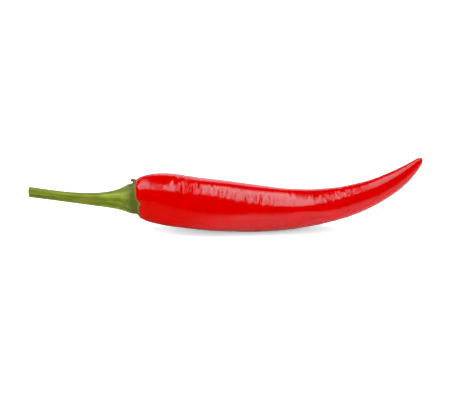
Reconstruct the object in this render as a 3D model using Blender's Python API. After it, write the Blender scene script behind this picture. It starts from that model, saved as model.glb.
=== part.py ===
"""A fresh red chilli pepper lying on its belly: pod, calyx and stem, in metres, +Z up.

+X runs from the cut end of the stem to the tip of the pod. The origin is the middle of the
bounding box, on the surface that the pod rests on.
"""

import math

import bmesh
import bpy
from mathutils import Vector

MM = 0.001

# The pod: its curved axis lies upright, in the XZ plane.
POD_AXIS_LENGTH = 100.8 * MM
POD_THICKNESS = 17.2 * MM
POD_WIDTH_SHARE = 1.15  # a pod lying down is a little wider than it is thick
POD_START = Vector((0.0, 0.0, 11.05 * MM))
POD_DROOP = -9.1  # degrees from level where the body begins
POD_UPTURN = 60.2  # degrees gained by the tip
POD_UPTURN_POWER = 2.57
NECK_LIFT = 19.0  # degrees added in the neck, so that the pod leaves the calyx squarely
NECK_REACH = 0.05  # share of the axis over which that fades
ROUND_NECK = 0.2  # share of the axis over which the round neck grows to its full width
BELLY_PRESS = 0.35 * MM  # how far the resting belly is pressed flat
# Share of the axis and share of the half-thickness there: base, shoulder, body, blunt tip
POD_OUTLINE = (
    (-0.022, 0.0),
    (-0.017, 0.39),
    (0.0, 0.55),
    (0.02, 0.79),
    (0.04, 0.885),
    (0.10, 0.99),
    (0.20, 0.98),
    (0.35, 0.92),
    (0.50, 0.78),
    (0.65, 0.63),
    (0.80, 0.48),
    (0.92, 0.31),
    (0.97, 0.19),
    (0.99, 0.12),
    (1.0, 0.0),
)

# The stalk: stem and calyx share one curved axis and one flaring outline.
STALK_LENGTH = 35.9 * MM
STEM_THICKNESS = 3.4 * MM
CUT_END = Vector((-35.0 * MM, 0.0, 13.4 * MM))
STALK_DROOP = -8.4
STALK_UPTURN = 16.8
STALK_UPTURN_POWER = 2.3
CUT_ROUNDING = 0.25 * MM
# Share of the stalk and share of the stem's half-thickness there
STALK_OUTLINE = (
    (0.0, 1.0),
    (0.40, 1.03),
    (0.55, 1.17),
    (0.70, 1.45),
    (0.80, 1.80),
    (0.89, 2.36),
    (0.96, 3.06),
)
STEM_SHARE = 0.79  # share of the stalk that is stem; the rest is calyx
RIDGES = 5  # one runs down the stem from each tooth of the calyx
RIDGE_SHARE = 0.05  # height of a ridge as a share of the radius
FIRST_TOOTH = math.radians(14.0)

GROWTH_GAP = 0.3 * MM  # clearance between organs that grew together
RIM_WALL = 0.3 * MM
RIM_DISTANCE = 0.1 * MM  # how far the calyx clasps the pod past the start of its shoulder
TOOTH_REACH = 0.8 * MM  # how far each tooth runs on past the rim
KNOB_HEIGHT = 1.2 * MM  # the tooth on top has dried and curled back into a knob
KNOB_RADIUS = 0.6 * MM
KNOB_SHARE = 0.945  # where it stands along the stalk
KNOB_ANGLE = math.radians(100.0)

# Fineness of the meshes
POD_POINTS = 44
CALYX_POINTS = 60
STEM_POINTS = 30
RING_SPACING = 2.8 * MM
LEAST_RINGS = 3  # rings between one station of an outline and the next
SHARP_ANGLE = math.radians(40.0)


def clear_scene():
    """Remove everything from the scene."""
    for obj in list(bpy.data.objects):
        bpy.data.objects.remove(obj, do_unlink=True)


def make_material(name, colour, roughness):
    """Principled material with an opaque linear colour; nothing on a plant is metallic."""
    material = bpy.data.materials.new(name)
    material.use_nodes = True
    shader = material.node_tree.nodes["Principled BSDF"]
    shader.inputs["Base Color"].default_value = (*colour, 1.0)
    shader.inputs["Roughness"].default_value = roughness
    shader.inputs["Metallic"].default_value = 0.0
    material.diffuse_color = (*colour, 1.0)
    return material


def red_skin():
    """Waxy, glossy skin of a ripe pod."""
    return make_material("red_skin", (0.70, 0.006, 0.004), 0.22)


def calyx_green():
    """Leathery olive green of the calyx, darker than the stem."""
    return make_material("calyx_green", (0.11, 0.17, 0.02), 0.5)


def stem_green():
    """Fibrous yellow-green of the stem."""
    return make_material("stem_green", (0.21, 0.30, 0.025), 0.55)


class BentAxis:
    """An axis in the XZ plane whose heading is a function of the share of its length."""

    STEPS = 400

    def __init__(self, start, length, heading):
        self.length = length
        self.heading = heading
        self.step = length / self.STEPS
        self.points = [start]
        for index in range(self.STEPS):
            angle = heading((index + 0.5) / self.STEPS)
            self.points.append(self.points[-1] + self.step * direction(angle))

    def place(self, distance, sideways, upward):
        """Point beside the axis, which runs on straight past both ends."""
        held = min(max(distance, 0.0), self.length)
        index = min(int(held / self.step), self.STEPS - 1)
        point = self.points[index].lerp(self.points[index + 1], held / self.step - index)
        forward = direction(self.heading(held / self.length))
        normal = Vector((-forward.z, 0.0, forward.x))
        return point + forward * (distance - held) + normal * upward + Vector((0.0, sideways, 0.0))


def direction(angle):
    """Unit vector in the XZ plane, an angle up from +X."""
    return Vector((math.cos(angle), 0.0, math.sin(angle)))


def pod_heading(share):
    """The pod droops out of its neck, then turns up ever faster to the tip."""
    neck = NECK_LIFT * math.exp(-share / NECK_REACH)
    return math.radians(POD_DROOP + neck + POD_UPTURN * share**POD_UPTURN_POWER)


def stalk_heading(share):
    """The stalk droops from its cut end and levels out into the calyx."""
    return math.radians(STALK_DROOP + STALK_UPTURN * share**STALK_UPTURN_POWER)


POD_AXIS = BentAxis(POD_START, POD_AXIS_LENGTH, pod_heading)
STALK_AXIS = BentAxis(CUT_END, STALK_LENGTH, stalk_heading)


def smoothstep(low, high, value):
    """0 at low, 1 at high, level at both ends."""
    share = min(max((value - low) / (high - low), 0.0), 1.0)
    return share * share * (3 - 2 * share)


def mirrored_end(end, inner):
    """Station past an end: the inner one's reflection, so that a closed end is met squarely."""
    return Vector((inner.x, -inner.y)) if end.y == 0.0 else 2 * end - inner


def smooth_outline(shares, length, half_thickness):
    """Points of a Catmull-Rom curve in (distance, radius) through an outline's stations."""
    stations = [Vector((share * length, radius * half_thickness)) for share, radius in shares]
    before = mirrored_end(stations[0], stations[1])
    after = mirrored_end(stations[-1], stations[-2])
    padded = [before, *stations, after]
    curve = []
    for a, b, c, d in zip(padded, padded[1:], padded[2:], padded[3:]):
        chord = (c - b).length
        count = max(LEAST_RINGS, math.ceil(chord / RING_SPACING))
        leave = slope_at(a, b, c) * chord
        arrive = slope_at(b, c, d) * chord
        curve += [hermite(b, leave, c, arrive, step / count) for step in range(count)]
    return [*curve, stations[-1]]


def slope_at(before, here, after):
    """Slope of the curve at a station, each chord weighted by the length of the other."""
    near, far = (here - before).length, (after - here).length
    return ((here - before) * far / near + (after - here) * near / far) / (near + far)


def hermite(start, leave, end, arrive, t):
    """Point at share t of the cubic with these ends and end slopes."""
    rise = t * t * (3 - 2 * t)
    return start * (1 - rise) + end * rise + leave * t * (1 - t) ** 2 - arrive * t * t * (1 - t)


def offset_outline(curve, clearance):
    """The outline moved outwards along its own normals."""
    moved = []
    for index, point in enumerate(curve):
        run = curve[min(index + 1, len(curve) - 1)] - curve[max(index - 1, 0)]
        outward = Vector((-run.y, run.x)).normalized()
        if point.y == 0.0:
            outward = Vector((-1.0 if index == 0 else 1.0, 0.0))
        moved.append(point + outward * clearance)
    return moved


def radius_at(curve, distance):
    """Radius of a rising stretch of an outline at a distance along its axis."""
    for near, far in zip(curve, curve[1:]):
        if near.x <= distance <= far.x:
            return near.lerp(far, (distance - near.x) / (far.x - near.x)).y
    raise ValueError("the outline doesn't reach this distance")


POD_CURVE = smooth_outline(POD_OUTLINE, POD_AXIS_LENGTH, POD_THICKNESS / 2)
STALK_CURVE = smooth_outline(STALK_OUTLINE, STALK_LENGTH, STEM_THICKNESS / 2)


def ring(axis, points, shape):
    """Ring of points round an axis; shape gives (distance, radius, width share) at an angle.

    Angle 0 faces -Y and a quarter turn faces up.
    """
    placed = []
    for index in range(points):
        angle = 2 * math.pi * index / points
        distance, radius, width = shape(angle)
        placed.append(axis.place(distance, -math.cos(angle) * radius * width, math.sin(angle) * radius))
    return placed


def bridge(mesh, near, far):
    """Faces between two loops of the same count, either of which may be a pole."""
    count = max(len(near), len(far))
    for index in range(count):
        after = (index + 1) % count
        corners = [near[index % len(near)], near[after % len(near)]]
        corners += [far[after % len(far)], far[index % len(far)]]
        mesh.faces.new(list(dict.fromkeys(corners)))


def solid_through(rings):
    """Closed bmesh through rings in order, with a flat cap on an end ring that isn't a pole."""
    mesh = bmesh.new()
    loops = [[mesh.verts.new(point) for point in points] for points in rings]
    for near, far in zip(loops, loops[1:]):
        bridge(mesh, near, far)
    for loop in (loops[0], loops[-1]):
        if len(loop) > 1:
            mesh.faces.new(loop)
    bmesh.ops.recalc_face_normals(mesh, faces=mesh.faces[:])
    return mesh


def press_belly(mesh):
    """Flatten the lowest point of the pod, where its own weight presses it on the surface."""
    floor = min(vert.co.z for vert in mesh.verts) + BELLY_PRESS
    everything = mesh.verts[:] + mesh.edges[:] + mesh.faces[:]
    plane = {"plane_co": (0.0, 0.0, floor), "plane_no": (0.0, 0.0, 1.0)}
    cut = bmesh.ops.bisect_plane(mesh, geom=everything, clear_inner=True, **plane)
    edges = [item for item in cut["geom_cut"] if isinstance(item, bmesh.types.BMEdge)]
    bmesh.ops.contextual_create(mesh, geom=edges)
    bmesh.ops.recalc_face_normals(mesh, faces=mesh.faces[:])


def pod_width(distance):
    """Width share of the pod's section: round in the neck, oval in the body."""
    return 1 + (POD_WIDTH_SHARE - 1) * smoothstep(0.0, ROUND_NECK, distance / POD_AXIS_LENGTH)


def pod_rings(curve):
    """One ring, or a pole, for each point of the pod's outline."""
    return [
        [POD_AXIS.place(point.x, 0.0, 0.0)]
        if point.y == 0.0
        else ring(POD_AXIS, POD_POINTS, lambda angle, point=point: (*point, pod_width(point.x)))
        for point in curve
    ]


def pod_solid():
    mesh = solid_through(pod_rings(POD_CURVE))
    press_belly(mesh)
    return mesh


def ridged(radius, angle):
    """Radius with a low ridge in line with each tooth."""
    return radius * (1 + RIDGE_SHARE * math.cos(RIDGES * (angle - FIRST_TOOTH)))


def stem_solid():
    """The stem runs from its cut end to the back of the calyx."""
    end = STEM_SHARE * STALK_LENGTH
    cut = STALK_CURVE[0].y
    outline = [Vector((0.0, cut - CUT_ROUNDING)), Vector((CUT_ROUNDING, cut))]
    outline += [point for point in STALK_CURVE if 2 * CUT_ROUNDING < point.x < end]
    outline.append(Vector((end, radius_at(STALK_CURVE, end))))
    rings = [
        ring(STALK_AXIS, STEM_POINTS, lambda angle, point=point: (point.x, ridged(point.y, angle), 1.0))
        for point in outline
    ]
    return solid_through(rings)


def tooth_at(angle):
    """How much of a tooth stands at an angle round the rim: 1 on its point, 0 between teeth."""
    return (0.5 + 0.5 * math.cos(RIDGES * (angle - FIRST_TOOTH))) ** 3


def knob_at(distance, angle, radius):
    """Height of the curled tooth at a point of the calyx."""
    along = distance - KNOB_SHARE * STALK_LENGTH
    around = radius * math.remainder(angle - KNOB_ANGLE, 2 * math.pi)
    return KNOB_HEIGHT * math.exp(-(along**2 + around**2) / KNOB_RADIUS**2)


def calyx_outside(start):
    """Rings of the flaring outside, whose ridges fade before the rim."""
    outline = [Vector((start, radius_at(STALK_CURVE, start)))]
    outline += [point for point in STALK_CURVE if point.x > start + GROWTH_GAP]

    def shape(point, angle):
        smooth = smoothstep(start, STALK_CURVE[-1].x, point.x)
        radius = point.y + (ridged(point.y, angle) - point.y) * (1 - smooth)
        return point.x, radius + knob_at(point.x, angle, point.y), 1.0

    def whole_ring(point):
        return ring(STALK_AXIS, CALYX_POINTS, lambda angle: shape(point, angle))

    return [whole_ring(point) for point in outline]


def calyx_rim(clearance):
    """Ring that follows the pod's shoulder at a clearance, out to the point of each tooth."""
    curve = offset_outline(POD_CURVE, clearance)

    def shape(angle):
        distance = RIM_DISTANCE + TOOTH_REACH * tooth_at(angle)
        return distance, radius_at(curve, distance), 1.0

    return ring(POD_AXIS, CALYX_POINTS, shape)


def calyx_dish():
    """Rings of the hollow that holds the pod's base, from the rim back to its middle."""
    curve = [point for point in offset_outline(POD_CURVE, GROWTH_GAP) if point.x < RIM_DISTANCE - GROWTH_GAP]
    rings = [
        ring(POD_AXIS, CALYX_POINTS, lambda angle, point=point: (*point, 1.0)) if point.y > 0.0
        else [POD_AXIS.place(point.x, 0.0, 0.0)]
        for point in curve
    ]
    return rings[::-1]


def calyx_solid():
    """The calyx flares from the stem, turns in at its toothed rim and clasps the pod."""
    outside = calyx_outside(STEM_SHARE * STALK_LENGTH + GROWTH_GAP)
    rims = [calyx_rim(GROWTH_GAP + RIM_WALL), calyx_rim(GROWTH_GAP)]
    return solid_through([*outside, *rims, *calyx_dish()])


def add_part(name, solid, material, parent):
    """Object made from a finished bmesh."""
    data = bpy.data.meshes.new(name)
    solid.to_mesh(data)
    solid.free()
    data.materials.append(material)
    data.shade_smooth()
    data.set_sharp_from_angle(angle=SHARP_ANGLE)
    part = bpy.data.objects.new(name, data)
    part.parent = parent
    bpy.context.scene.collection.objects.link(part)
    return part


def add_resting_point():
    """Empty that carries the three parts, moved last so that the origin is under their middle."""
    empty = bpy.data.objects.new("resting_point", None)
    empty.empty_display_size = STALK_LENGTH
    bpy.context.scene.collection.objects.link(empty)
    return empty


def put_origin_under_middle(empty, parts):
    """Bring the middle of the bounding box over the origin and its bottom onto the surface."""
    points = [vert.co for part in parts for vert in part.data.vertices]
    low = [min(point[axis] for point in points) for axis in range(3)]
    high = [max(point[axis] for point in points) for axis in range(3)]
    empty.location = (-(low[0] + high[0]) / 2, -(low[1] + high[1]) / 2, -low[2])


def build():
    clear_scene()
    carrier = add_resting_point()
    parts = [
        add_part("pod", pod_solid(), red_skin(), carrier),
        add_part("calyx", calyx_solid(), calyx_green(), carrier),
        add_part("stem", stem_solid(), stem_green(), carrier),
    ]
    put_origin_under_middle(carrier, parts)


build()
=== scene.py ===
"""A fresh red chilli pepper lying on its belly on a white studio table.

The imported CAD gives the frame: where the pod, the calyx and the stem are. Each of them is replaced
by a finely made surface of the same size. Lengths are in metres, +Z is up and +X points to the tip.
"""

import math

import bpy
import numpy as np
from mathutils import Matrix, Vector


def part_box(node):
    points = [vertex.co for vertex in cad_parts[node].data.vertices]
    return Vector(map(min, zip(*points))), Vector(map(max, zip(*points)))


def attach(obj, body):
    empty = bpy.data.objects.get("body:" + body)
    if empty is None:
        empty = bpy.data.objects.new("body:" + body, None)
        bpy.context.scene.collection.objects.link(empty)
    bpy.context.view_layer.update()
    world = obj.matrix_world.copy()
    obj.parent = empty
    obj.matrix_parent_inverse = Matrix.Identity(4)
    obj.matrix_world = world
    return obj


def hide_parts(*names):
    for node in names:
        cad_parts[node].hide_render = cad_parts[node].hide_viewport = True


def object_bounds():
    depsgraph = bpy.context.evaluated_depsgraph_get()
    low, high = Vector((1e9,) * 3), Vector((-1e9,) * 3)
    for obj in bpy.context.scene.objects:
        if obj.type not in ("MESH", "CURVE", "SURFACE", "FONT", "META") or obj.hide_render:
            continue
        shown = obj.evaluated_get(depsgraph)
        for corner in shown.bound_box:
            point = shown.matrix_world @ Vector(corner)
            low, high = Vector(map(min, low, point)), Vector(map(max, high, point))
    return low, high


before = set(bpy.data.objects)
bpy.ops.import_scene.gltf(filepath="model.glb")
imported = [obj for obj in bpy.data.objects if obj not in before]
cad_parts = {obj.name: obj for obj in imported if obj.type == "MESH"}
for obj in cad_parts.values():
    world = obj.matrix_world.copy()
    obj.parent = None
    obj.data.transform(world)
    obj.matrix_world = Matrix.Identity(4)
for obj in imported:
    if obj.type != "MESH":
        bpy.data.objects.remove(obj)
CAD_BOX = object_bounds()
MM = 0.001
PER_MM = 1 / MM  # as the scale of a noise: cells one millimetre across

# ---------------------------------------------------------------------------------------------
# Driving dimensions
# ---------------------------------------------------------------------------------------------

POD_LOW, POD_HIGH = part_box("pod")

# The pod's axis lies upright in the XZ plane: it droops out of the neck, then turns up to the tip.
POD_AXIS_LENGTH = 100.8 * MM
POD_HALF_THICKNESS = 8.6 * MM
POD_WIDTH_SHARE = 1.15
POD_DROOP = -9.1
POD_UPTURN = 60.2
POD_UPTURN_POWER = 2.57
NECK_LIFT = 19.0
NECK_REACH = 0.05
ROUND_NECK = 0.2
POD_START_HEIGHT = 11.05 * MM
BELLY_PRESS = 0.35 * MM
# Share of the axis and of the half thickness: neck under the calyx, shoulder, long taper, round tip
POD_OUTLINE = (
    (-0.022, 0.0),
    (-0.017, 0.39),
    (0.0, 0.55),
    (0.02, 0.79),
    (0.04, 0.885),
    (0.10, 0.99),
    (0.20, 0.98),
    (0.35, 0.92),
    (0.50, 0.78),
    (0.65, 0.63),
    (0.80, 0.48),
    (0.92, 0.31),
    (0.97, 0.19),
    (0.99, 0.12),
    (1.0, 0.0),
)

# The stalk's axis carries stem and calyx and starts 35 mm behind the pod's.
STALK_LENGTH = 35.9 * MM
STALK_START = (-35.0 * MM, 13.4 * MM)
STALK_DROOP = -8.4
STALK_UPTURN = 16.8
STALK_UPTURN_POWER = 2.3
STEM_HALF_THICKNESS = 1.7 * MM
STEM_SHARE = 0.79
# Share of the stalk's length and of the stem's half thickness: an even stem that flares to the rim
STALK_OUTLINE = (
    (0.0, 1.0),
    (0.40, 1.03),
    (0.55, 1.17),
    (0.70, 1.45),
    (0.80, 1.80),
    (0.89, 2.36),
    (0.96, 3.06),
    (1.0, 3.55),
)


# ---------------------------------------------------------------------------------------------
# Making meshes
# ---------------------------------------------------------------------------------------------

OUTLINE_STEPS = 32  # points on each span of an outline
AXIS_STEPS = 1600  # straight steps that a bent axis is summed from


def smoothstep(low, high, value):
    """0 at low, 1 at high, level at both ends: t^2 (3 - 2t) with t the clamped share of the way."""
    share = np.clip((value - low) / (high - low), 0.0, 1.0)
    return share * share * (3 - 2 * share)


def bump(offset, width):
    """A smooth hump: e to the minus (offset / width) squared."""
    return np.exp(-((offset / width) ** 2))


def turn_apart(angle, other):
    """The signed turn from one angle to another, between minus and plus half a turn."""
    return (angle - other + math.pi) % (2 * math.pi) - math.pi


def turn_row(count):
    """A row of evenly spaced angles, once round an organ."""
    return np.linspace(0.0, 2 * math.pi, count, endpoint=False)[None, :]


def dense_outline(stations, length, radius):
    """Catmull-Rom curve through (share, share) stations, scaled to a length and a radius.

    Each span is the cubic whose end slopes are the chords on both sides, each weighted by the
    other's length. Past a closed end the curve is mirrored, so that it meets its axis squarely.
    """
    points = np.array(stations) * (length, radius)
    mirror = np.array((1.0, -1.0))
    before = points[1] * mirror if points[0, 1] == 0 else 2 * points[0] - points[1]
    after = points[-2] * mirror if points[-1, 1] == 0 else 2 * points[-1] - points[-2]
    padded = np.vstack((before, points, after))
    chord = np.diff(padded, axis=0)
    size = np.linalg.norm(chord, axis=1)[:, None]
    slope = chord[:-1] / size[:-1] * size[1:] + chord[1:] / size[1:] * size[:-1]
    slope = slope / (size[:-1] + size[1:])
    t = np.linspace(0.0, 1.0, OUTLINE_STEPS, endpoint=False)[None, :, None]
    rise = t * t * (3 - 2 * t)
    start, end, span = points[:-1, None], points[1:, None], size[1:-1, None]
    leave, arrive = slope[:-1, None] * span, slope[1:, None] * span
    curve = start * (1 - rise) + end * rise + leave * t * (1 - t) ** 2 - arrive * t * t * (1 - t)
    return np.vstack((curve.reshape(-1, 2), points[-1]))


def resample(curve, count):
    """The same curve with its points evenly spaced along its own length."""
    run = np.concatenate(([0.0], np.cumsum(np.linalg.norm(np.diff(curve, axis=0), axis=1))))
    where = np.linspace(0.0, run[-1], count)
    return np.stack([np.interp(where, run, curve[:, axis]) for axis in (0, 1)], axis=1)


class BentAxis:
    """An axis in the XZ plane: its points are the running sum of steps along its heading."""

    def __init__(self, start, length, heading):
        self.length = length
        steps = np.linspace(0.0, 1.0, AXIS_STEPS + 1)
        middle = heading((steps[1:] + steps[:-1]) / 2)
        step = length / AXIS_STEPS
        self.distance = steps * length
        self.x = start[0] + np.concatenate(([0.0], np.cumsum(np.cos(middle)) * step))
        self.z = start[1] + np.concatenate(([0.0], np.cumsum(np.sin(middle)) * step))
        self.angle = heading(steps)

    def place(self, distance, sideways, upward):
        """Points beside the axis, which runs on straight past both ends."""
        held = np.clip(distance, 0.0, self.length)
        over = distance - held
        angle = np.interp(held, self.distance, self.angle)
        x = np.interp(held, self.distance, self.x) + over * np.cos(angle) - upward * np.sin(angle)
        z = np.interp(held, self.distance, self.z) + over * np.sin(angle) + upward * np.cos(angle)
        return np.stack(np.broadcast_arrays(x, sideways, z), axis=-1)


def tube_mesh(name, points, straight, **marks):
    """Closed mesh through a grid of rings whose first and last rings shrink to poles.

    The grid has a row for each ring and a column for each angle. `straight` holds, for the same
    grid, where each point would be on an unbent organ, and is kept as the attribute "grown". Each
    mark is a grid of numbers that is kept as an attribute of its own name, for the material.
    """
    rings, around = points.shape[:2]
    index = np.arange(rings * around).reshape(rings, around)
    after = np.roll(index, -1, axis=1)
    quads = np.stack((index[:-1], after[:-1], after[1:], index[1:]), axis=-1).reshape(-1, 4)
    start, end = rings * around, rings * around + 1
    fan_start = np.stack((np.full(around, start), after[0], index[0]), axis=-1)
    fan_end = np.stack((np.full(around, end), index[-1], after[-1]), axis=-1)
    faces = [*quads.tolist(), *fan_start.tolist(), *fan_end.tolist()]
    places, unbent = (
        np.vstack((grid.reshape(-1, 3), grid[0].mean(0), grid[-1].mean(0))) for grid in (points, straight)
    )
    mesh = bpy.data.meshes.new(name)
    mesh.from_pydata(places.tolist(), [], faces)
    grown = mesh.attributes.new("grown", "FLOAT_VECTOR", "POINT")
    grown.data.foreach_set("vector", unbent.astype(np.float32).ravel())
    for mark, grid in marks.items():
        grid = np.broadcast_to(grid, (rings, around))
        values = np.concatenate((grid.ravel(), (grid[0].mean(), grid[-1].mean()))).astype(np.float32)
        mesh.attributes.new(mark, "FLOAT", "POINT").data.foreach_set("value", values)
    mesh.shade_smooth()
    mesh.update()
    return mesh


def add_piece(name, mesh, material, slot, *nodes):
    """Puts a finished mesh in the scene, in the place of the CAD nodes that it stands for."""
    piece = bpy.data.objects.new(name, mesh)
    bpy.context.scene.collection.objects.link(piece)
    mesh.materials.append(material)
    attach(piece, "root")
    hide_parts(*nodes)
    return piece


# ---------------------------------------------------------------------------------------------
# Making materials
# ---------------------------------------------------------------------------------------------


def linear(code):
    """A colour written as sRGB hex, as linear red, green, blue and full alpha."""
    parts = [int(code[place : place + 2], 16) / 255 for place in (1, 3, 5)]
    return (*[part / 12.92 if part <= 0.04045 else ((part + 0.055) / 1.055) ** 2.4 for part in parts], 1.0)


def add_node(tree, kind, settings=None, **links):
    """Adds a node, sets its properties and sockets, and links the sockets that are given.

    A socket goes by its name or its number. Among the links, _ stands for a space and _2 for number 2.
    """
    node = tree.nodes.new(kind)
    for key, value in (settings or {}).items():
        if isinstance(key, str) and hasattr(node, key):
            setattr(node, key, value)
        else:
            node.inputs[key].default_value = value
    for key, source in links.items():
        socket = int(key[1:]) if key[1:].isdigit() else key.replace("_", " ")
        tree.links.new(source, node.inputs[socket])
    return node


# ---------------------------------------------------------------------------------------------
# The pod
# ---------------------------------------------------------------------------------------------

POD_RINGS, POD_AROUND = 520, 180
POD_CURVE = dense_outline(POD_OUTLINE, POD_AXIS_LENGTH, POD_HALF_THICKNESS)
SMOOTH_RADIUS = 6.0 * MM  # where the pod is thinner than this, its relief dies away
PLEAT_PLACE, PLEAT_REACH = 0.035, 0.03  # shares of the axis
PLEAT_HEIGHT = 0.07 * MM
SCAR_REACH = (0.7 * MM, 0.2 * MM)  # how far from the tip the style's scar starts and is whole
SCAR_STRENGTH = 0.8

# Soft swellings and hollows of the pod: share of the axis, degrees up from the near side, reach
# along the pod in mm, reach round it in degrees, and height in mm.
SOFT_FORMS = (
    (0.20, -34.0, 12.0, 24.0, 0.75),
    (0.20, 22.0, 12.0, 18.0, -0.22),
    (0.09, 34.0, 6.0, 20.0, 0.33),
    (0.09, 78.0, 6.0, 20.0, -0.26),
    (0.56, 22.0, 6.0, 18.0, 0.28),
    (0.45, 25.0, 12.0, 12.0, 0.20),
    (0.53, 64.0, 9.0, 26.0, -0.30),
    (0.41, 108.0, 13.0, 28.0, 0.24),
    (0.64, 110.0, 15.0, 28.0, 0.24),
    (0.86, 110.0, 15.0, 32.0, 0.22),
    (0.36, 118.0, 12.0, 34.0, 0.15),
    (0.62, 205.0, 14.0, 38.0, 0.24),
    (0.22, 190.0, 11.0, 36.0, 0.30),
    (0.78, 150.0, 9.0, 40.0, 0.12),
)
# Where the wax is rubbed off, rougher and mirroring less: the same numbers, with the share that is gone
# in place of the height
DULL_PATCHES = (
    (0.17, 60.0, 3.0, 45.0, 1.0),
    (0.65, 62.0, 4.5, 30.0, 0.35),
    (0.42, 170.0, 12.0, 40.0, 0.4),
)
# Where the fine wrinkles are deeper than elsewhere: the same numbers, with how many times deeper
PUCKERED = (
    (0.17, 66.0, 5.5, 36.0, 9.0),
    (0.27, 36.0, 7.0, 18.0, 3.5),
    (0.40, 34.0, 7.0, 20.0, 4.5),
    (0.53, 22.0, 5.0, 16.0, 3.5),
    (0.68, 50.0, 6.0, 35.0, 7.0),
    (0.30, 160.0, 14.0, 40.0, 4.0),
)
# Wrinkles: how many waves, their length in mm, the most that they lean round the pod, and the height
# of their sum in mm. The first kind is the slow waviness of the whole skin.
WRINKLES = (
    (24, (9.0, 26.0), 3, 0.034),
    (60, (2.0, 5.0), 6, 0.0065),
    (90, (0.9, 1.6), 8, 0.0026),
)
WRINKLE_CHANCE = 11  # starts the random draws of the wrinkles


def pod_heading(share):
    """Radians above level: droop, plus a neck lift that fades, plus an upturn as a power of the share."""
    neck = NECK_LIFT * np.exp(-share / NECK_REACH)
    return np.radians(POD_DROOP + neck + POD_UPTURN * share**POD_UPTURN_POWER)


def wave_sum(distance, angle, count, lengths, lean, height, chance):
    """Sum of `count` equal waves of random length, lean and phase.

    Each is the cosine of distance over its length plus a whole number of turns round the organ, so
    that the pattern closes on itself without a seam.
    """
    total = np.zeros(np.broadcast(distance, angle).shape)
    for _ in range(count):
        length = chance.uniform(*lengths) * MM
        turns = chance.integers(-lean, lean + 1)
        phase = chance.uniform(0.0, 2 * math.pi)
        total += np.cos(2 * math.pi * distance / length + turns * angle + phase)
    return total * height * MM / math.sqrt(count / 2)


def humps(places, distance, angle):
    """Sum of one smooth hump for each place: its height times a hump along and a hump round the pod."""
    total = np.zeros(np.broadcast(distance, angle).shape)
    for share, degrees, along, around, height in places:
        hump = bump(distance - share * POD_AXIS_LENGTH, along * MM)
        total += height * hump * bump(turn_apart(angle, math.radians(degrees)), math.radians(around))
    return total


def pod_relief(distance, angle, radius):
    """Height of the skin over the plain oval: soft forms, shoulder pleats and wrinkles."""
    share = distance / POD_AXIS_LENGTH
    relief = humps(SOFT_FORMS, distance, angle) * MM
    pleats = 0.5 * np.cos(7 * angle + 1.0) + 0.5 * np.cos(11 * angle + 2.6)
    relief += PLEAT_HEIGHT * pleats * bump(share - PLEAT_PLACE, PLEAT_REACH)
    chance = np.random.default_rng(WRINKLE_CHANCE)
    deeper = 1 + humps(PUCKERED, distance, angle)
    for place, (count, lengths, lean, height) in enumerate(WRINKLES):
        waves = wave_sum(distance, angle, count, lengths, lean, height, chance)
        relief += waves * (deeper if place else 1)
    return relief * smoothstep(0.0, SMOOTH_RADIUS, radius)


def pod_surface(skin_relief):
    """Grid of the pod's skin in its own frame, and the same grid on an unbent pod."""
    outline = resample(POD_CURVE, POD_RINGS + 2)[1:-1]
    distance, radius = outline[:, :1], outline[:, 1:]
    angle = turn_row(POD_AROUND) - math.pi / 2
    width = 1 + (POD_WIDTH_SHARE - 1) * smoothstep(0.0, ROUND_NECK, distance / POD_AXIS_LENGTH)
    skin = radius + skin_relief * pod_relief(distance, angle, radius)
    sideways, upward = -np.cos(angle) * skin * width, np.sin(angle) * skin
    straight = np.stack(np.broadcast_arrays(distance, sideways, upward), axis=-1)
    return POD_AXIS.place(distance, sideways, upward), straight


POD_AXIS = BentAxis((0.0, POD_START_HEIGHT), POD_AXIS_LENGTH, pod_heading)
smooth_pod = pod_surface(0.0)[0]
pod_points, pod_straight = pod_surface(1.0)
# One shift takes every organ from the pod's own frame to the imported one.
lift = POD_LOW.z - smooth_pod[..., 2].min() - BELLY_PRESS
SHIFT = np.array((POD_HIGH.x - smooth_pod[..., 0].max(), 0.0, lift))
pod_points = pod_points + SHIFT
# The weight of the fruit presses its belly flat on the table.
pod_points[..., 2] = np.maximum(pod_points[..., 2], POD_LOW.z)


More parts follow.
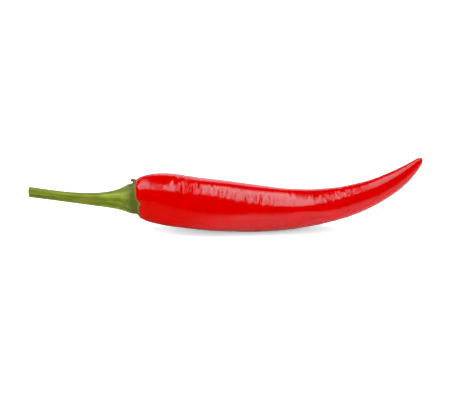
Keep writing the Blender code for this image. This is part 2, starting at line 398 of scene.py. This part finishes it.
def waxy_chilli_skin():
    """Ripe chilli skin under its natural wax: saturated red, glossy, faintly wrinkled round the pod."""
    material = bpy.data.materials.new("waxy_chilli_skin")
    material.use_nodes = True
    tree = material.node_tree
    shader = tree.nodes["Principled BSDF"]
    # The pigment under the wax swallows the red of a reflection, so highlights stay pink, not white.
    shader.inputs["Specular Tint"].default_value = (0.07, 0.9, 0.97, 1.0)
    grown = add_node(tree, "ShaderNodeAttribute", {"attribute_name": "grown"})
    # Pigment lies in soft clouds about 6 mm across.
    cloud = add_node(
        tree,
        "ShaderNodeTexNoise",
        {"Scale": 0.16 * PER_MM, "Detail": 3.0},
        Vector=grown.outputs["Vector"],
    )
    reds = add_node(tree, "ShaderNodeValToRGB", Fac=cloud.outputs["Fac"])
    reds.color_ramp.elements[0].position = 0.35
    reds.color_ramp.elements[1].position = 0.68
    reds.color_ramp.elements[0].color = linear("#C70000")
    reds.color_ramp.elements[1].color = linear("#CF0000")
    # The flower's style left a tan scar on the very tip.
    scar = add_node(tree, "ShaderNodeAttribute", {"attribute_name": "scar"})
    skin = add_node(
        tree,
        "ShaderNodeMix",
        {"data_type": "RGBA", 7: linear("#A8542A")},
        _0=scar.outputs["Fac"],
        _6=reds.outputs["Color"],
    )
    tree.links.new(skin.outputs[2], shader.inputs["Base Color"])
    # The wax is rubbed duller in patches some 9 mm long.
    rubbed = add_node(
        tree,
        "ShaderNodeTexNoise",
        {"Scale": 0.11 * PER_MM, "Detail": 2.0},
        Vector=grown.outputs["Vector"],
    )
    dull = add_node(tree, "ShaderNodeAttribute", {"attribute_name": "dull"})
    worn = add_node(
        tree,
        "ShaderNodeMath",
        {"operation": "ADD"},
        _0=rubbed.outputs["Fac"],
        _1=dull.outputs["Fac"],
    )
    gloss = add_node(
        tree,
        "ShaderNodeMapRange",
        {"From Min": 0.35, "From Max": 1.7, "To Min": 0.08, "To Max": 0.22},
        Value=worn.outputs["Value"],
    )
    tree.links.new(gloss.outputs["Result"], shader.inputs["Roughness"])
    # Cells of the skin run round the pod: each fine line is 0.6 mm wide and some 2 mm long.
    stretch = add_node(
        tree, "ShaderNodeMapping", {"Scale": (1.7, 0.5, 0.5)}, Vector=grown.outputs["Vector"]
    )
    lines = add_node(
        tree, "ShaderNodeTexNoise", {"Scale": PER_MM, "Detail": 2.0}, Vector=stretch.outputs["Vector"]
    )
    relief = add_node(
        tree, "ShaderNodeBump", {"Strength": 0.3, "Distance": 0.1 * MM}, Height=lines.outputs["Fac"]
    )
    tree.links.new(relief.outputs["Normal"], shader.inputs["Normal"])
    # Along those lines the wax is thicker and thinner, and where it is rubbed it hardly mirrors at all.
    thin = add_node(
        tree,
        "ShaderNodeMath",
        {"operation": "MULTIPLY_ADD", 1: -0.6},
        _0=dull.outputs["Fac"],
        _2=lines.outputs["Fac"],
    )
    wax = add_node(
        tree,
        "ShaderNodeMapRange",
        {"From Min": -0.2, "From Max": 0.7, "To Min": 1.18, "To Max": 1.48},
        Value=thin.outputs["Value"],
    )
    tree.links.new(wax.outputs["Result"], shader.inputs["IOR"])
    return material


pod_angle = np.arctan2(pod_straight[..., 2], -pod_straight[..., 1])
to_tip = POD_AXIS_LENGTH - pod_straight[..., 0]
pod_marks = {
    "dull": humps(DULL_PATCHES, pod_straight[..., 0], pod_angle),
    "scar": SCAR_STRENGTH * smoothstep(*SCAR_REACH, to_tip),
}
pod_mesh = tube_mesh("pod_skin", pod_points, pod_straight, **pod_marks)
pod_skin = add_piece("pod_skin", pod_mesh, waxy_chilli_skin(), "red_skin", "pod")
# Bounced red would tint the table, whose shadow is a neutral grey.
pod_skin.visible_diffuse = False

# ---------------------------------------------------------------------------------------------
# The stalk: calyx, stem and the dried tooth
# ---------------------------------------------------------------------------------------------

STALK_AROUND = 200
CALYX_ROWS, LIP_ROWS = 120, 8
STEM_ROWS, FACE_ROWS, CORNER_ROWS = 300, 24, 6
JUNCTION = STEM_SHARE * STALK_LENGTH
POD_BEGINS = 35.15 * MM  # distance along the stalk at which the pod's own axis begins
HAND_OVER = 3.0 * MM  # how long before that the stalk starts to follow the pod's axis
RIM = POD_BEGINS + 1.0 * MM
RIM_WALL = 0.26 * MM
SNUG = (POD_BEGINS - 1.6 * MM, POD_BEGINS + 0.6 * MM)  # where the flare gives way to the pod's shoulder
LIP_GAP, DISH_GAP = 0.04 * MM, 0.02 * MM  # how far lip and dish stand off the pod
DISH_BACK = 0.06 * MM  # how far the dish lies behind the pod's end
DISH_MOUTH = 0.8 * MM  # where the dish starts, along the pod's axis
# Ridges of the stalk: degrees up from the near side, spread in degrees and share of the full height
RIDGE_LINES = (
    (50.0, 19.0, 1.0),
    (4.0, 12.0, 0.45),
    (-48.0, 20.0, 0.9),
    (-104.0, 18.0, 0.8),
    (122.0, 20.0, 0.9),
    (178.0, 21.0, 0.8),
)
RIDGE_HEIGHT, FIBRE_HEIGHT = 0.075, 0.012  # shares of the local radius
RIDGE_LEVEL = 0.4  # the height on a ridge that lies on the plain outline
RIDGE_FADE = 0.7  # the share of the relief that is gone at the rim
TWIST = math.radians(-12.0)  # turn of the ridges from the cut end to the rim
LAST_TWIST = math.radians(-20.0)  # their further turn over the last quarter
# Fibres under the rind: whole turns round the stalk, phase, and the length in mm that the phase drifts over
FIBRE_WAVES = ((17, 0.4, 9.0), (23, 1.9, 13.0), (31, 3.1, 7.0), (41, 5.0, 5.0), (53, 2.2, 6.0))
# Teeth of the calyx: degrees up from the near side, reach in mm, spread in degrees below and above
CALYX_TEETH = (
    (4.0, 1.05, 9.0, 7.0),
    (-22.0, 0.50, 26.0, 18.0),
    (84.0, 0.05, 10.0, 12.0),
    (158.0, 0.85, 16.0, 9.0),
    (228.0, 0.70, 12.0, 15.0),
    (292.0, 0.80, 15.0, 11.0),
)
# Marks on the stalk: place and reach along it in mm, degrees up from the near side, reach in degrees
RIM_FLECK = (34.85, 0.5, 84.0, 7.45)
KNIFE_NICK = (0.0, 0.5, -12.0, 9.17)
OCHRE_PATCH = (18.0, 3.2, 14.0, 31.5)
# A groove by the cut that is painted darker, as shade.
SHADED_GROOVE = (-17.0, 11.5)  # degrees up from the near side, reach in degrees
NICK_DEPTH = 0.3 * MM
CORNER = 0.15 * MM  # the worn edge of the cut
CUT_LEAN = 3.0 * MM  # how far from the cut its slant dies away
PITH_SINK, FIBRE_RISE = 0.22 * MM, 0.10 * MM


def stalk_heading(share):
    """Radians above level: droop plus an upturn that is a power of the share."""
    return np.radians(STALK_DROOP + STALK_UPTURN * share**STALK_UPTURN_POWER)


STALK_AXIS = BentAxis(STALK_START, STALK_LENGTH, stalk_heading)
STALK_CURVE = dense_outline(STALK_OUTLINE, STALK_LENGTH, STEM_HALF_THICKNESS)


def ridge_height(angle, distance):
    """0 in the grooves to 1 on the crests: a hump across each ridge line, all turning with the twist."""
    share = distance / RIM
    turned = angle - TWIST * (share - 0.7) - LAST_TWIST * smoothstep(0.75, 1.0, share)
    height = np.zeros(np.broadcast(distance, angle).shape)
    for degrees, spread, tallness in RIDGE_LINES:
        across = bump(turn_apart(turned, math.radians(degrees)), math.radians(spread))
        height = np.maximum(height, tallness * across)
    return height


def fibres(angle, distance):
    """Fine lengthwise ribs: high whole-turn cosines whose phase drifts slowly along the stalk."""
    total = np.zeros(np.broadcast(distance, angle).shape)
    for turns, phase, drift in FIBRE_WAVES:
        total += np.cos(turns * angle + phase + 1.5 * np.cos(distance / (drift * MM) + phase))
    return total / len(FIBRE_WAVES)


def ribbed(radius, ridge, angle, distance, share):
    """The radius with ridges and fibres on it, each a share of the radius, times a share of them all."""
    relief = RIDGE_HEIGHT * (ridge - RIDGE_LEVEL) + FIBRE_HEIGHT * fibres(angle, distance)
    return radius * (1 + relief * share)


def spot(mark, angle, distance):
    """A soft spot on the stalk: a hump along it times a hump round it."""
    place, reach, degrees, around = mark
    along = bump(distance - place * MM, reach * MM)
    return along * bump(turn_apart(angle, math.radians(degrees)), math.radians(around))


def tooth_reach(angle):
    """How far the rim runs forward at an angle: the longest of the lopsided teeth, and a slow wave."""
    reach = 0.10 + 0.05 * np.cos(3 * angle + 1.0) + 0.04 * np.cos(8 * angle)
    for degrees, height, below, above in CALYX_TEETH:
        turn = turn_apart(angle, math.radians(degrees))
        reach = reach + height * bump(turn, np.radians(np.where(turn < 0, below, above)))
    return reach * MM


def pod_radius(distance):
    """Radius of the pod's shoulder at a distance along the pod's own axis."""
    return np.interp(distance, POD_CURVE[:, 0], POD_CURVE[:, 1])


def stalk_place(distance, sideways, upward):
    """Points beside the stalk's axis, which hands over to the pod's axis just before the rim."""
    share = smoothstep(POD_BEGINS - HAND_OVER, POD_BEGINS, distance)[..., None]
    along_stalk = STALK_AXIS.place(distance, sideways, upward)
    along_pod = POD_AXIS.place(distance - POD_BEGINS, sideways, upward)
    return along_stalk * (1 - share) + along_pod * share + SHIFT


def calyx_surface():
    """Grids of the calyx: its points, the same unbent, and marks: painted ridge highlight and shade, olive
    rim, dryness.

    Its rows run along the flaring outside, over the rounded lip and back down the dish that holds
    the pod. Near the rim the outside leaves the flare and follows the pod's shoulder one wall above it.
    """
    angle = turn_row(STALK_AROUND)
    share = np.linspace(0.0, 1.0, CALYX_ROWS)[:, None]
    late = smoothstep(0.5, 1.0, share)
    distance = JUNCTION + share * (RIM - JUNCTION) + late * tooth_reach(angle)
    flare = np.interp(distance, STALK_CURVE[:, 0], STALK_CURVE[:, 1])
    hug = pod_radius(distance - POD_BEGINS) + RIM_WALL
    snug = smoothstep(*SNUG, distance)
    radius = flare * (1 - snug) + np.maximum(hug, 0.0) * snug
    ridge = ridge_height(angle, distance)
    radius = ribbed(radius, ridge, angle, distance, 1 - RIDGE_FADE * late)

    lip = np.radians(np.linspace(20.0, 180.0, LIP_ROWS))[:, None]
    edge, inner = radius[-1:], hug[-1:] - RIM_WALL + LIP_GAP
    lip_radius = (edge + inner) / 2 + (edge - inner) / 2 * np.cos(lip)
    lip_distance = distance[-1:] + (edge - inner) / 2 * np.sin(lip)
    # The dish follows every fourth point of the pod's own outline back to its pole.
    back = POD_CURVE[POD_CURVE[:, 0] < DISH_MOUTH][::-4]
    whole = (len(back), STALK_AROUND)
    dish_distance = np.broadcast_to(POD_BEGINS + back[:, :1] - DISH_BACK, whole)
    dish_radius = np.broadcast_to(np.maximum(back[:, 1:] + DISH_GAP, 0.05 * MM), whole)
    distance = np.vstack((distance, lip_distance, dish_distance))
    radius = np.vstack((radius, lip_radius, dish_radius))
    sideways, upward = -np.cos(angle) * radius, np.sin(angle) * radius
    straight = np.stack((distance, sideways, upward), axis=-1)

    inside = (LIP_ROWS + len(back), STALK_AROUND)
    # The ridge mark paints the crests pale and the grooves dark, a painted highlight and shade, half of it
    # gone at the rim.
    ridge = np.vstack((ridge * (1 - 0.5 * smoothstep(0.6, 1.0, share)), np.zeros(inside)))
    # The rim dries along its edge and inside, and most of all on the points of the teeth.
    edge_dry = bump((share - 1) * (RIM - JUNCTION), 0.35 * MM) * np.ones_like(angle)
    edge_dry = np.vstack((edge_dry, np.ones(inside)))
    point_dry = bump(distance - RIM - 1.2 * MM, 0.7 * MM)
    marks = {
        "ridge": 0.37 * ridge,
        "rim_olive": smoothstep(RIM - 5.0 * MM, RIM - 0.3 * MM, distance),
        "dry": np.clip(0.45 * edge_dry + 0.35 * point_dry, 0.0, 1.0),
        "scar": spot(RIM_FLECK, angle, distance),
    }
    return stalk_place(distance, sideways, upward), straight, marks


def stem_surface():
    """Grids of the stem: the cut face, its worn edge, and the ridged side up to the calyx."""
    angle = turn_row(STALK_AROUND)
    # Rows crowd towards the cut.
    side = CORNER + np.linspace(0.0, 1.0, STEM_ROWS)[:, None] ** 1.15 * (JUNCTION - CORNER)
    corner = np.radians(np.linspace(8.0, 82.0, CORNER_ROWS))[:, None]
    cut = STALK_CURVE[0, 1]
    flat = (cut - CORNER) * np.linspace(0.044, 1.0, FACE_ROWS)[:, None]
    rounded = cut - CORNER + CORNER * np.sin(corner)
    radius = np.vstack((flat, rounded, np.interp(side, STALK_CURVE[:, 0], STALK_CURVE[:, 1])))
    ring = (radius / cut).clip(max=1.0)
    on_face = np.arange(len(radius))[:, None] < FACE_ROWS + CORNER_ROWS
    # Pith dries first and sinks, and the ring of fibres round it stands a little proud.
    sunk = PITH_SINK * bump(ring, 0.5) - FIBRE_RISE * bump(ring - 0.72, 0.14)
    distance = np.vstack((np.zeros_like(flat), CORNER * (1 - np.cos(corner)), side)) + sunk * on_face
    ridge = ridge_height(angle, distance)
    outward = smoothstep(0.3, 1.0, ring)
    radius = ribbed(radius, ridge, angle, distance, outward)
    sideways, upward = -np.cos(angle) * radius, np.sin(angle) * radius
    straight = np.stack(np.broadcast_arrays(distance, sideways, upward), axis=-1)

    # The knife went straight down, so the cut leans against the drooping stalk, and it left one nick.
    leaning = distance + upward * math.tan(math.radians(STALK_DROOP)) * bump(distance, CUT_LEAN)
    nick = spot(KNIFE_NICK, angle, distance) * outward
    leaning = leaning + NICK_DEPTH * nick * smoothstep(0.5, 1.0, ring)
    # One groove by the cut gets deeper painted shade, and the painted highlight on the crests grows again
    # in the last third.
    degrees, around = (math.radians(turn) for turn in SHADED_GROOVE)
    groove = bump(turn_apart(angle, degrees), around)
    groove = groove * (1 - smoothstep(4.0 * MM, 13.0 * MM, distance))
    crests = 0.17 + 0.2 * smoothstep(21.0 * MM, 27.0 * MM, distance)
    marks = {
        "ridge": np.clip(ridge - 0.7 * groove, 0.0, 1.0) * crests,
        "dry": 0.4 * spot(OCHRE_PATCH, angle, distance),
        "pith": np.where(on_face, 1 - smoothstep(0.80, 1.0, ring), 0.0) * np.ones_like(angle),
    }
    return stalk_place(leaning, sideways, upward), straight, marks


def stalk_rind(name):
    """Green rind of stem or calyx: smooth and satin, with lengthwise fibres under the skin.

    Crests are pale yellow green and grooves deep green: a painted highlight and painted shade. It goes
    darker olive towards the rim, ochre where it has dried, and the pith that a cut lays open is cream.
    """
    material = bpy.data.materials.new(name)
    material.use_nodes = True
    tree = material.node_tree
    shader = tree.nodes["Principled BSDF"]
    shader.inputs["Roughness"].default_value = 0.42
    shader.inputs["IOR"].default_value = 1.4
    shader.inputs["Specular IOR Level"].default_value = 0.35
    grown = add_node(tree, "ShaderNodeAttribute", {"attribute_name": "grown"})
    marks = {
        mark: add_node(tree, "ShaderNodeAttribute", {"attribute_name": mark})
        for mark in ("ridge", "rim_olive", "dry", "scar", "pith")
    }
    # Fibres are 0.25 mm wide and about 5 mm long, and two of them go to a cell of the noise.
    stretch = add_node(
        tree, "ShaderNodeMapping", {"Scale": (0.05, 1.0, 1.0)}, Vector=grown.outputs["Vector"]
    )
    fibre = add_node(
        tree,
        "ShaderNodeTexNoise",
        {"Scale": 1.9 * PER_MM, "Detail": 3.0},
        Vector=stretch.outputs["Vector"],
    )
    # Blotches of more and less chlorophyll are some 4 mm long and 1.4 mm wide.
    patch = add_node(
        tree, "ShaderNodeMapping", {"Scale": (0.35, 1.0, 1.0)}, Vector=grown.outputs["Vector"]
    )
    blotch = add_node(
        tree,
        "ShaderNodeTexNoise",
        {"Scale": 0.7 * PER_MM, "Detail": 3.0},
        Vector=patch.outputs["Vector"],
    )
    # The ridge mark pales the crests and darkens the grooves: a painted highlight and painted shade.
    streak = add_node(
        tree,
        "ShaderNodeMath",
        {"operation": "MULTIPLY_ADD", 1: 0.6},
        _0=fibre.outputs["Fac"],
        _2=marks["ridge"].outputs["Fac"],
    )
    mottle = add_node(
        tree,
        "ShaderNodeMath",
        {"operation": "MULTIPLY_ADD", 1: 0.35},
        _0=blotch.outputs["Fac"],
        _2=streak.outputs["Value"],
    )
    greens = add_node(tree, "ShaderNodeValToRGB", Fac=mottle.outputs["Value"])
    ramp = greens.color_ramp
    ramp.elements[0].position = 0.38
    ramp.elements[0].color = linear("#52631A")
    ramp.elements[1].position = 0.86
    ramp.elements[1].color = linear("#8E9C39")
    ramp.elements.new(0.58).color = linear("#6A7C1B")
    colour = greens.outputs["Color"]
    for mark, code in (("rim_olive", "#525C1C"), ("dry", "#8C8430"), ("scar", "#3F3614"), ("pith", "#C9C792")):
        layer = add_node(
            tree,
            "ShaderNodeMix",
            {"data_type": "RGBA", 7: linear(code)},
            _0=marks[mark].outputs["Fac"],
            _6=colour,
        )
        colour = layer.outputs[2]
    tree.links.new(colour, shader.inputs["Base Color"])
    relief = add_node(
        tree, "ShaderNodeBump", {"Strength": 0.35, "Distance": 0.06 * MM}, Height=fibre.outputs["Fac"]
    )
    tree.links.new(relief.outputs["Normal"], shader.inputs["Normal"])
    return material


# The dried tooth: its rings, where it stands, and the parts of its radius, as shares of its girth
TOOTH_ROWS, TOOTH_AROUND = 42, 36
TOOTH_TURN = math.radians(96.0)  # up from the near side
TOOTH_PLACE = RIM + 0.10 * MM
TOOTH_GIRTH = 0.95 * MM
TOOTH_HEIGHT, TOOTH_SINK = 2.5 * MM, 0.4 * MM
TOOTH_LEAN, TOOTH_SWAY = 0.6 * MM, 0.15 * MM  # back towards the stem, and to and fro
FOOT, WAIST, HEAD = 0.65, 0.33, 0.32
HEAD_PLACE = 0.74  # share of the height


def dried_tooth_surface():
    """Grids of the dried tooth: a short crooked horn with a knobbed head, standing on the rim.

    Its middle line climbs with a sideways sine; its radius is a stout foot, a waist and a lumpy head.
    """
    along = np.linspace(0.0, 1.0, TOOTH_ROWS + 2)[1:-1, None]
    angle = turn_row(TOOTH_AROUND)
    past_head = along - HEAD_PLACE
    profile = FOOT * bump(along, 0.25) + WAIST + HEAD * bump(past_head, 0.17)
    closing = np.sqrt(np.clip(1 - along**6, 0.0, 1.0))
    lumps = 1 + 0.16 * np.cos(3 * angle + 4 * along) + 0.10 * np.cos(5 * angle - 9 * along)
    radius = TOOTH_GIRTH * profile * lumps * closing
    centre_x = -TOOTH_LEAN * along**1.4 + TOOTH_SWAY * np.sin(4.2 * along)
    centre_z = TOOTH_HEIGHT * along - TOOTH_SINK
    aside = np.sin(angle) * radius + 0.1 * MM * along
    forward = np.cos(angle) * radius * (1 + 0.35 * bump(past_head, 0.2)) + centre_x
    seat = pod_radius(RIM - POD_BEGINS - 0.9 * MM)
    distance = TOOTH_PLACE + forward
    sideways = aside - seat * math.cos(TOOTH_TURN)
    upward = seat * math.sin(TOOTH_TURN) + centre_z
    distance, sideways, upward = np.broadcast_arrays(distance, sideways, upward)
    return stalk_place(distance, sideways, upward), np.stack((distance, sideways, upward), axis=-1)


def dried_tooth_crust():
    """Withered calyx tooth: dull, brown green and puckered, paler on its raised parts."""
    material = bpy.data.materials.new("dried_tooth_crust")
    material.use_nodes = True
    tree = material.node_tree
    shader = tree.nodes["Principled BSDF"]
    shader.inputs["Roughness"].default_value = 0.8
    grown = add_node(tree, "ShaderNodeAttribute", {"attribute_name": "grown"})
    # Puckers are about 0.4 mm across.
    pucker = add_node(
        tree,
        "ShaderNodeTexNoise",
        {"Scale": 2.4 * PER_MM, "Detail": 3.0},
        Vector=grown.outputs["Vector"],
    )
    browns = add_node(tree, "ShaderNodeValToRGB", Fac=pucker.outputs["Fac"])
    browns.color_ramp.elements[0].position = 0.38
    browns.color_ramp.elements[0].color = linear("#454C1A")
    browns.color_ramp.elements[1].position = 0.66
    browns.color_ramp.elements[1].color = linear("#83853E")
    tree.links.new(browns.outputs["Color"], shader.inputs["Base Color"])
    relief = add_node(
        tree, "ShaderNodeBump", {"Strength": 0.6, "Distance": 0.15 * MM}, Height=pucker.outputs["Fac"]
    )
    tree.links.new(relief.outputs["Normal"], shader.inputs["Normal"])
    return material


stem_points, stem_straight, stem_marks = stem_surface()
stem_mesh = tube_mesh("ridged_stem", stem_points, stem_straight, **stem_marks)
add_piece("ridged_stem", stem_mesh, stalk_rind("stem_rind"), "stem_green", "stem")
calyx_points, calyx_straight, calyx_marks = calyx_surface()
calyx_mesh = tube_mesh("toothed_calyx", calyx_points, calyx_straight, **calyx_marks)
add_piece("toothed_calyx", calyx_mesh, stalk_rind("calyx_rind"), "calyx_green", "calyx")
tooth_points, tooth_straight = dried_tooth_surface()
tooth_mesh = tube_mesh("dried_tooth", tooth_points, tooth_straight)
add_piece("dried_tooth", tooth_mesh, dried_tooth_crust(), "calyx_green", "calyx")

# ---------------------------------------------------------------------------------------------
# The table, the light and the camera
# ---------------------------------------------------------------------------------------------

CAMERA_ELEVATION = math.radians(20.0)
CAMERA_LENS = 200.0
SENSOR = 36.0
FRAME_WIDTH = 150.0 * MM  # what the picture takes in at the pod
CAMERA_AIM = Vector((0.0, 0.0, 7.3 * MM))
TABLE_HALF = 8.0
# A glow only the camera sees: painted light that lifts the table's shadow.
TABLE_GLOW = 0.42
TABLE_FADE = (15.0 * MM, 90.0 * MM)  # from the pod's line, where the sheet's painted fade to a warm dark starts and ends
NARROW_FROM, NARROW_TO = 8.0 * MM, -20.0 * MM  # along the pod, where that painted fade comes nearer
NARROWING = 76.0 * MM
STUDIO_RADIUS = 3.0
PANEL_ROWS, PANEL_COLUMNS = 49, 81
DIP_WIDTH = 8.0  # degrees
# The softbox has two sheets of cloth: the seam between them and the far sheet are dimmer.
SEAM_TURN, SEAM_WIDTH, SEAM_DIMMING = -11.0, 5.5, 0.9
SIDE_SHEET, SIDE_DIMMING = (-10.0, -20.0), 0.30
WHITE = (1.0, 1.0, 1.0, 1.0)


def add_table():
    """White acrylic sheet lit from above, glowing towards the camera only: painted light that lightens its
    shadow.
    """
    mesh = bpy.data.meshes.new("table")
    corners = [(x * TABLE_HALF, y * TABLE_HALF, 0.0) for x, y in ((-1, -1), (1, -1), (1, 1), (-1, 1))]
    mesh.from_pydata(corners, [], [(0, 1, 2, 3)])
    table = bpy.data.objects.new("table", mesh)
    bpy.context.scene.collection.objects.link(table)
    table.location.z = CAD_BOX[0].z
    material = bpy.data.materials.new("white_acrylic_sheet")
    material.use_nodes = True
    tree = material.node_tree
    shader = tree.nodes["Principled BSDF"]
    shader.inputs["Roughness"].default_value = 0.9
    shader.inputs["Specular IOR Level"].default_value = 0.0
    shader.inputs["Emission Color"].default_value = WHITE
    path = add_node(tree, "ShaderNodeLightPath")
    where = add_node(tree, "ShaderNodeTexCoord")
    split = add_node(tree, "ShaderNodeSeparateXYZ", Vector=where.outputs["Object"])
    ahead = add_node(tree, "ShaderNodeMath", {"operation": "ABSOLUTE"}, _0=split.outputs["Y"])
    # In the pod's gloss the painted fade comes nearer towards the stalk, and to the camera by less, where
    # the glow lightens the shadow: painted light.
    narrow = add_node(
        tree,
        "ShaderNodeMapRange",
        {"From Min": NARROW_FROM, "From Max": NARROW_TO, "To Min": 0.0, "To Max": NARROWING},
        Value=split.outputs["X"],
    )
    share = add_node(
        tree,
        "ShaderNodeMath",
        {"operation": "MULTIPLY_ADD", 1: 0.45},
        _0=path.outputs["Is Camera Ray"],
        _2=path.outputs["Is Glossy Ray"],
    )
    far = add_node(
        tree,
        "ShaderNodeMath",
        {"operation": "MULTIPLY_ADD"},
        _0=narrow.outputs["Result"],
        _1=share.outputs["Value"],
        _2=ahead.outputs["Value"],
    )
    fade = add_node(
        tree,
        "ShaderNodeMapRange",
        {"interpolation_type": "SMOOTHSTEP", "From Min": TABLE_FADE[0], "From Max": TABLE_FADE[1]},
        Value=far.outputs["Value"],
    )
    # White near the pod, fading to a warm dark away from it: a painted pool of light, and its warm dark is
    # a painted reflection of red bounce in the pod's gloss. The camera's glow makes up for the fade, so the
    # sheet stays white to the camera.
    sheet = add_node(
        tree,
        "ShaderNodeMix",
        {"data_type": "RGBA", 6: (1.12, 1.12, 1.12, 1.0), 7: linear("#8A6648")},
        _0=fade.outputs["Result"],
    )
    tree.links.new(sheet.outputs[2], shader.inputs["Base Color"])
    lit = add_node(tree, "ShaderNodeMath", {"operation": "ADD", 1: TABLE_GLOW}, _0=fade.outputs["Result"])
    glow = add_node(
        tree,
        "ShaderNodeMath",
        {"operation": "MULTIPLY"},
        _0=path.outputs["Is Camera Ray"],
        _1=lit.outputs["Value"],
    )
    tree.links.new(glow.outputs["Value"], shader.inputs["Emission Strength"])
    mesh.materials.append(material)


def add_reflection(name, rise, turn, colour, strength, soft, dip=0.0, dip_at=0.0):
    """Studio panel that only shows as a reflection: a glowing patch of a great sphere round the pod.

    `rise` is its range in degrees from level in front, over the top, to level behind, and `turn`
    its range in degrees towards +X. Its top edge dips by `dip` degrees in a hump round `dip_at`.
    Its glow dies away over `soft` degrees inside every edge. Where the panel's two sheets meet, left
    of the middle, it is dimmer, and so is the sheet beyond.
    """
    share = np.linspace(0.0, 1.0, PANEL_ROWS)[:, None]
    side = np.linspace(*turn, PANEL_COLUMNS)[None, :]
    top = rise[1] - dip * bump(side - dip_at, DIP_WIDTH)
    above = rise[0] + share * (top - rise[0])
    up, out = np.radians(above), np.radians(side)
    near, high = -np.cos(out) * np.cos(up), np.cos(out) * np.sin(up)
    grid = np.stack(np.broadcast_arrays(np.sin(out), near, high), axis=-1)
    index = np.arange(PANEL_ROWS * PANEL_COLUMNS).reshape(PANEL_ROWS, PANEL_COLUMNS)
    quads = np.stack((index[:-1, :-1], index[1:, :-1], index[1:, 1:], index[:-1, 1:]), axis=-1)
    across = smoothstep(0.0, soft, above - rise[0]) * smoothstep(0.0, soft, top - above)
    along = smoothstep(0.0, soft, side - turn[0]) * smoothstep(0.0, soft, turn[1] - side)
    seam = 1 - SEAM_DIMMING * bump(side - SEAM_TURN, SEAM_WIDTH)
    sheets = seam * (1 - SIDE_DIMMING * smoothstep(*SIDE_SHEET, side))
    mesh = bpy.data.meshes.new(name)
    mesh.from_pydata((grid.reshape(-1, 3) * STUDIO_RADIUS).tolist(), [], quads.reshape(-1, 4).tolist())
    panel = bpy.data.objects.new(name, mesh)
    bpy.context.scene.collection.objects.link(panel)
    material = bpy.data.materials.new(name)
    material.use_nodes = True
    tree = material.node_tree
    tree.nodes.clear()
    levels = (strength * across * along * sheets).astype(np.float32).ravel()
    mesh.attributes.new("brightness", "FLOAT", "POINT").data.foreach_set("value", levels)
    level = add_node(tree, "ShaderNodeAttribute", {"attribute_name": "brightness"})
    glow = add_node(tree, "ShaderNodeEmission", {"Color": (*colour, 1.0)}, Strength=level.outputs["Fac"])
    add_node(tree, "ShaderNodeOutputMaterial", Surface=glow.outputs["Emission"])
    mesh.materials.append(material)
    panel.visible_camera = False
    panel.visible_diffuse = False
    panel.visible_shadow = False


def add_dome(name, spread, strength):
    """Sun from straight above, spread over a cone of that many degrees: soft light without gloss."""
    data = bpy.data.lights.new(name, "SUN")
    data.angle = math.radians(spread)
    data.energy = strength
    data.cycles.use_multiple_importance_sampling = False
    light = bpy.data.objects.new(name, data)
    light.visible_glossy = False
    bpy.context.scene.collection.objects.link(light)


def add_world():
    """White behind everything that the camera sees past the table, and a dark room otherwise."""
    world = bpy.data.worlds.new("white_wall")
    bpy.context.scene.world = world
    world.use_nodes = True
    tree = world.node_tree
    path = add_node(tree, "ShaderNodeLightPath")
    tree.links.new(path.outputs["Is Camera Ray"], tree.nodes["Background"].inputs["Strength"])
    tree.nodes["Background"].inputs["Color"].default_value = WHITE
    world.cycles.sampling_method = "NONE"


def add_camera():
    """Long lens a little above the pod, level with its length."""
    data = bpy.data.cameras.new("camera")
    data.lens = CAMERA_LENS
    data.sensor_width = SENSOR
    camera = bpy.data.objects.new("camera", data)
    bpy.context.scene.collection.objects.link(camera)
    bpy.context.scene.camera = camera
    away = FRAME_WIDTH * CAMERA_LENS / SENSOR
    back = Vector((0.0, -math.cos(CAMERA_ELEVATION), math.sin(CAMERA_ELEVATION)))
    camera.location = CAMERA_AIM + back * away
    camera.rotation_euler = (-back).to_track_quat("-Z", "Y").to_euler()
    data.clip_start, data.clip_end = 0.01, 30.0


add_table()
add_world()
add_camera()
add_dome("tent", 178.0, 4.25)
add_reflection("softbox", (62.0, 134.0), (-62.0, 26.0), (1.0, 1.0, 1.0), 5.9, 17.0, dip=27.0, dip_at=-3.0)
add_reflection("backdrop", (147.0, 181.0), (-80.0, 80.0), (0.9, 0.95, 1.1), 1.3, 6.0)
bpy.context.scene.view_settings.view_transform = "Standard"
